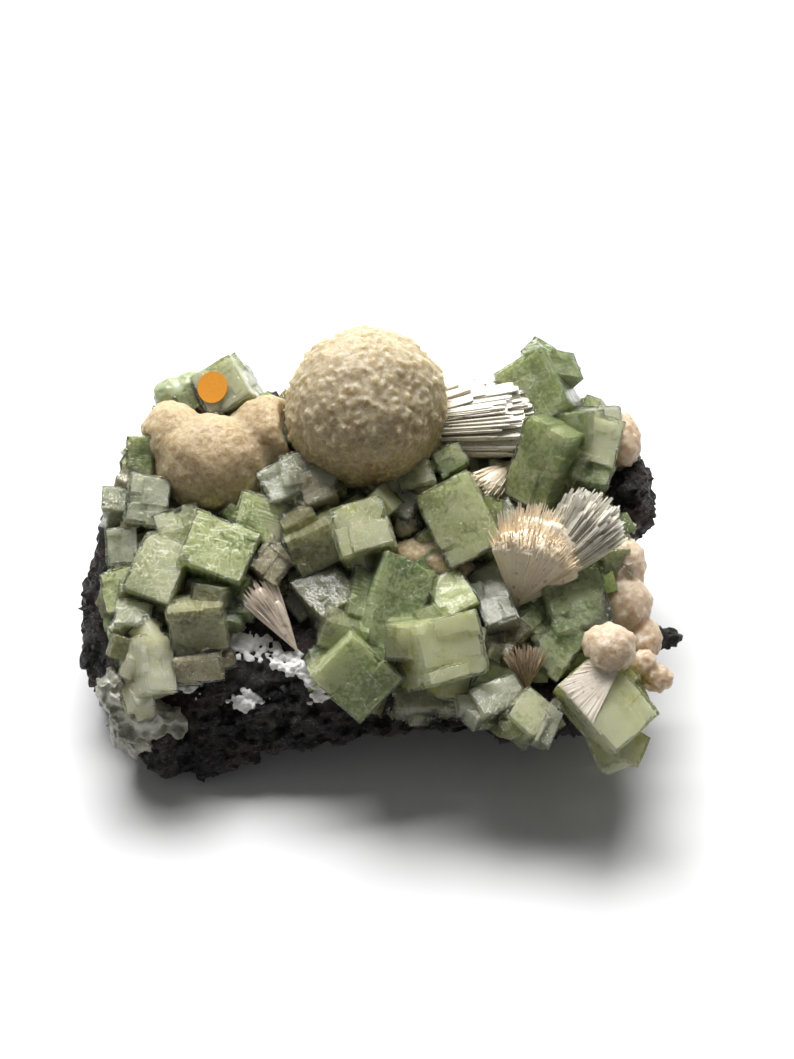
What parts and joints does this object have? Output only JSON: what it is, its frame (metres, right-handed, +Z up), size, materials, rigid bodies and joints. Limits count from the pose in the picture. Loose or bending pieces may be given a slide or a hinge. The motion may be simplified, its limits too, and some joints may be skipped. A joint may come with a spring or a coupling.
{
  "type": "apophyllite cluster",
  "caption": "Mineral specimen: green apophyllite crystals with tan stilbite balls and sheaves on a block of dark basalt, resting on its flat underside.",
  "frame": {"origin": "middle of the underside of the specimen's bounding box, on the surface it rests on", "axes": "+X along the block to the right of a viewer in front, -Y towards that viewer, +Z up"},
  "size_m": [0.149, 0.1064, 0.079],
  "materials": {
    "basalt": "rough, pitted",
    "apophyllite_green": "clear, glassy",
    "clear_grey_crystal": "clear, glassy",
    "heulandite_grey": "glassy crust",
    "green_knobs": "satin",
    "stilbite_tan": "finely crystalline",
    "stilbite_pink": "silky",
    "stilbite_silver": "pearly",
    "mordenite_white": "chalky",
    "orange_paper": "matte"
  },
  "bodies": {
    "root": {"basalt_matrix": "basalt", "apophyllite_centre_bank": "apophyllite_green", "apophyllite_centre_right": "apophyllite_green", "apophyllite_left_bank": "apophyllite_green", "apophyllite_small_centre": "apophyllite_green", "apophyllite_dark_back": "apophyllite_green", "apophyllite_right_large": "apophyllite_green", "apophyllite_grey_small": "apophyllite_green", "apophyllite_pale_block": "apophyllite_green", "apophyllite_front_bank": "apophyllite_green", "apophyllite_corner_right": "apophyllite_green", "apophyllite_right_middle": "apophyllite_green", "apophyllite_front_plates": "apophyllite_green", "apophyllite_left_small": "apophyllite_green", "apophyllite_brown_foot": "apophyllite_green", "apophyllite_corner_left": "apophyllite_green", "apophyllite_milky_left": "apophyllite_green", "apophyllite_milky_edge": "apophyllite_green", "apophyllite_green_edge": "apophyllite_green", "apophyllite_back_left": "apophyllite_green", "apophyllite_back_right": "apophyllite_green", "grey_clear_slab": "clear_grey_crystal", "stilbite_sheaf_right": "stilbite_pink", "stilbite_sheaf_white": "stilbite_pink", "stilbite_sheaf_pink": "stilbite_pink", "stilbite_sheaf_small": "stilbite_pink", "stilbite_ball_large": "stilbite_tan", "stilbite_blades_silver": "stilbite_silver", "stilbite_mass_left": "stilbite_tan", "stilbite_ball_corner": "stilbite_pink", "stilbite_lobes_corner": "stilbite_pink", "stilbite_crust_right": "stilbite_pink", "stilbite_crust_back_right": "stilbite_pink", "stilbite_cap_centre": "stilbite_tan", "stilbite_tuft_centre": "stilbite_tan", "stilbite_stub_centre": "stilbite_pink", "green_knobs_back_left": "green_knobs", "heulandite_crust_left": "heulandite_grey", "mordenite_patch_left": "mordenite_white", "mordenite_patch_middle": "mordenite_white", "mordenite_patch_right": "mordenite_white", "mordenite_patch_low": "mordenite_white", "mordenite_patch_small": "mordenite_white", "paper_dot": "orange_paper"}
  },
  "joints": []
}
